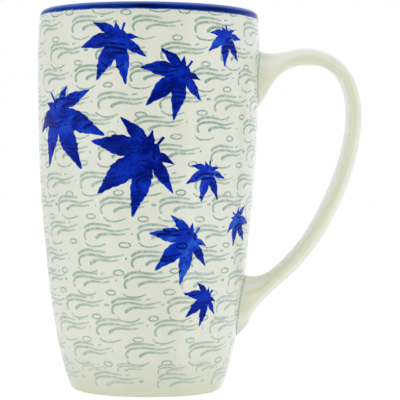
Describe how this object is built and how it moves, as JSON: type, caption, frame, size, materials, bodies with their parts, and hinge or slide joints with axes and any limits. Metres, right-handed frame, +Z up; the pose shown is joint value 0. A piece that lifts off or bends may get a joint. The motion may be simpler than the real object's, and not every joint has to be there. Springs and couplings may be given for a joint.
{
  "type": "stoneware mug",
  "caption": "Tall tapered stoneware latte mug with an ear-shaped strap handle, glazed inside and out, a blue band over the lip and a bare foot ring.",
  "frame": {"origin": "centre of the foot ring, on the plane the mug stands on", "axes": "+Z up along the mug's axis, +X toward the handle, -Y toward the decorated front"},
  "size_m": [0.1248, 0.0854, 0.145],
  "materials": {
    "stoneware": "matte",
    "joint_slip": "satin",
    "cream_glaze": "polished",
    "cobalt_band": "polished",
    "handle_glaze": "polished",
    "stamped_marks": "polished",
    "cobalt_leaf": "polished"
  },
  "bodies": {
    "root": {"mug_body": "stoneware", "handle": "stoneware", "upper_slip_joint": "joint_slip", "lower_slip_joint": "joint_slip", "outer_glaze": "cream_glaze", "liner_glaze": "cream_glaze", "rim_band": "cobalt_band", "handle_glaze": "handle_glaze", "base_recess_glaze": "cream_glaze"}
  },
  "joints": []
}
